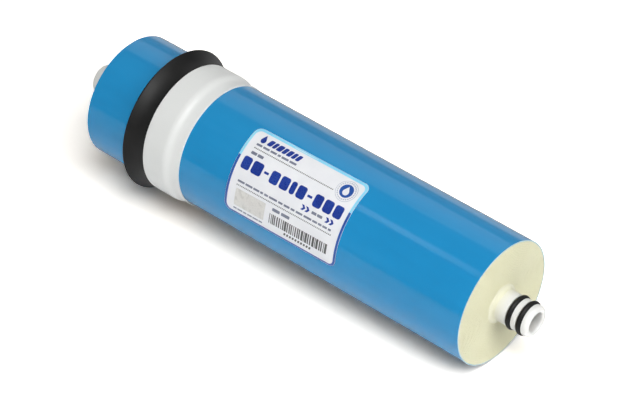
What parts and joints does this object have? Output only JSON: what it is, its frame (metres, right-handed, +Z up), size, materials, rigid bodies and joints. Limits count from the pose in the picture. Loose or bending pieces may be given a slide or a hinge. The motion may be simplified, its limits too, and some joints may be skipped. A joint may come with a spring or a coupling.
{
  "type": "spiral wound reverse osmosis membrane element",
  "caption": "Spiral-wound reverse osmosis membrane element: blue-wrapped roll on a permeate tube, with a flared rubber brine seal and an O-ring spigot.",
  "frame": {"origin": "on the permeate bore's axis, in the plane of the trimmed roll face at the O-ring spigot end", "axes": "+X along the permeate tube towards the O-ring spigot, the way permeate leaves; +Z up as the element lies on its side"},
  "size_m": [0.3259, 0.0882, 0.0882],
  "materials": {
    "tube_plastic": "satin white moulded plastic",
    "o_ring_rubber": "black rubber, slightly greased",
    "carrier_fabric": "knitted polyester, stiffened",
    "membrane_sheet": "coated sheet, satin",
    "spacer_net": "extruded net",
    "glue": "set two-part glue",
    "wrap_blue": "glossy blue wrap tape",
    "seal_rubber": "smooth black rubber",
    "tape_white": "satin white tape",
    "label_film": "satin film sticker"
  },
  "bodies": {
    "root": {"permeate_tube": "tube_plastic", "tube_plug": "tube_plastic", "o_ring_inner": "o_ring_rubber", "o_ring_outer": "o_ring_rubber", "core_wrap": "carrier_fabric", "membrane_leaf_1": "membrane_sheet", "feed_spacer_1": "spacer_net", "permeate_carrier_1": "carrier_fabric", "membrane_leaf_2": "membrane_sheet", "feed_spacer_2": "spacer_net", "permeate_carrier_2": "carrier_fabric", "membrane_leaf_3": "membrane_sheet", "feed_spacer_3": "spacer_net", "permeate_carrier_3": "carrier_fabric", "membrane_leaf_4": "membrane_sheet", "feed_spacer_4": "spacer_net", "permeate_carrier_4": "carrier_fabric", "membrane_leaf_5": "membrane_sheet", "feed_spacer_5": "spacer_net", "permeate_carrier_5": "carrier_fabric", "leaf_edge_glue": "glue", "outer_wrap": "wrap_blue", "brine_seal": "seal_rubber", "seal_tape": "tape_white", "label": "label_film"}
  },
  "joints": []
}
